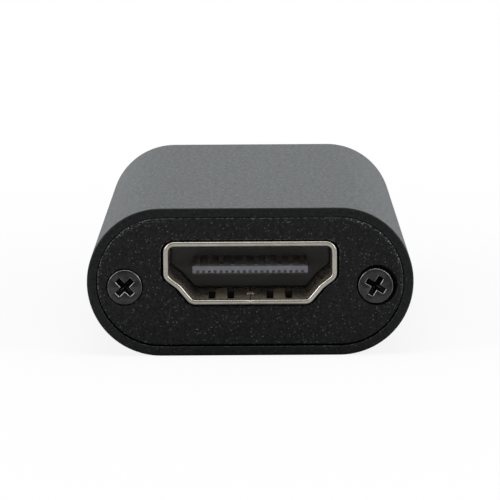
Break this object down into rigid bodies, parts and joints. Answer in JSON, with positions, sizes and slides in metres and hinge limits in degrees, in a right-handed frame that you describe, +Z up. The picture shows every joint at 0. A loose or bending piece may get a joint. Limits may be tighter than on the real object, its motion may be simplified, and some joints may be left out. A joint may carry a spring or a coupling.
{
  "type": "video capture box",
  "caption": "Pocket-size video capture box: extruded aluminium sleeve with half-round sides, screwed end plates, video input socket at the front and data socket at the rear.",
  "frame": {"origin": "on the surface that the box stands on, below the middle of the sleeve", "axes": "+X to the right seen from the video input end, +Y from the video input end to the data end, +Z up"},
  "size_m": [0.028, 0.0656, 0.0127],
  "materials": {
    "sleeve_aluminium": "bead-blasted and anodised black",
    "plate_aluminium": "coarsely blasted and anodised black",
    "black_screw": "black zinc",
    "plated_shell": "nickel plated",
    "video_plastic": "moulded",
    "data_plastic": "moulded blue",
    "contact_gold": "gold flash",
    "board_laminate": "green solder mask",
    "chip_mould": "moulded epoxy",
    "tinned_lead": "tinned",
    "ferrite": "pressed ferrite",
    "capacitor_ceramic": "fired ceramic with tinned ends",
    "resistor_ceramic": "coated ceramic with tinned ends",
    "pad_rubber": "soft filled silicone"
  },
  "bodies": {
    "sleeve": {"sleeve": "sleeve_aluminium"},
    "board": {"circuit_board": "board_laminate", "video_shell": "plated_shell", "video_insulator": "video_plastic", "video_contacts": "contact_gold", "data_shell": "plated_shell", "data_insulator": "data_plastic", "data_contacts": "contact_gold", "video_chip": "chip_mould", "bridge_chip": "chip_mould", "flash_chip": "chip_mould", "flash_leads": "tinned_lead", "video_crystal": "tinned_lead", "bridge_crystal": "tinned_lead", "inductors": "ferrite", "regulators": "chip_mould", "bulk_capacitors": "capacitor_ceramic", "surge_arrays": "chip_mould", "bypass_capacitors": "capacitor_ceramic", "resistors": "resistor_ceramic", "thermal_pads": "pad_rubber"},
    "video_springs": {"video_springs": "plated_shell"},
    "data_springs_lower": {"data_springs_lower": "plated_shell"},
    "data_springs_upper": {"data_springs_upper": "plated_shell"},
    "front_plate": {"front_plate": "plate_aluminium"},
    "front_screw_left": {"front_screw_left": "black_screw"},
    "front_screw_right": {"front_screw_right": "black_screw"},
    "rear_plate": {"rear_plate": "plate_aluminium"},
    "rear_screw_left": {"rear_screw_left": "black_screw"},
    "rear_screw_right": {"rear_screw_right": "black_screw"}
  },
  "joints": [
    {"name": "board_slide", "type": "slide", "parent": "sleeve", "child": "board", "axis": [0, -1, 0], "range_m": [0, 0.068]},
    {"name": "front_plate_slide", "type": "slide", "parent": "board", "child": "front_plate", "axis": [0, -1, 0], "range_m": [0, 0.012]},
    {"name": "front_screw_left_slide", "type": "slide", "parent": "front_plate", "child": "front_screw_left", "axis": [0, -1, 0], "range_m": [0, 0.007]},
    {"name": "front_screw_right_slide", "type": "slide", "parent": "front_plate", "child": "front_screw_right", "axis": [0, -1, 0], "range_m": [0, 0.007]},
    {"name": "rear_plate_slide", "type": "slide", "parent": "sleeve", "child": "rear_plate", "axis": [0, 1, 0], "range_m": [0, 0.012]},
    {"name": "rear_screw_left_slide", "type": "slide", "parent": "rear_plate", "child": "rear_screw_left", "axis": [0, 1, 0], "range_m": [0, 0.007]},
    {"name": "rear_screw_right_slide", "type": "slide", "parent": "rear_plate", "child": "rear_screw_right", "axis": [0, 1, 0], "range_m": [0, 0.007]},
    {"name": "video_spring_flex", "type": "hinge", "parent": "board", "child": "video_springs", "pos_m": [0, -0.03163, 0.00462], "axis": [-1, 0, 0], "range_deg": [0, 4.3], "stiffness_Nm_per_rad": 0.6},
    {"name": "data_spring_lower_flex", "type": "hinge", "parent": "board", "child": "data_springs_lower", "pos_m": [0, 0.03163, 0.00455], "axis": [1, 0, 0], "range_deg": [0, 4.3], "stiffness_Nm_per_rad": 0.9},
    {"name": "data_spring_upper_flex", "type": "hinge", "parent": "board", "child": "data_springs_upper", "pos_m": [0, 0.03163, 0.00997], "axis": [-1, 0, 0], "range_deg": [0, 4.3], "stiffness_Nm_per_rad": 0.9}
  ]
}
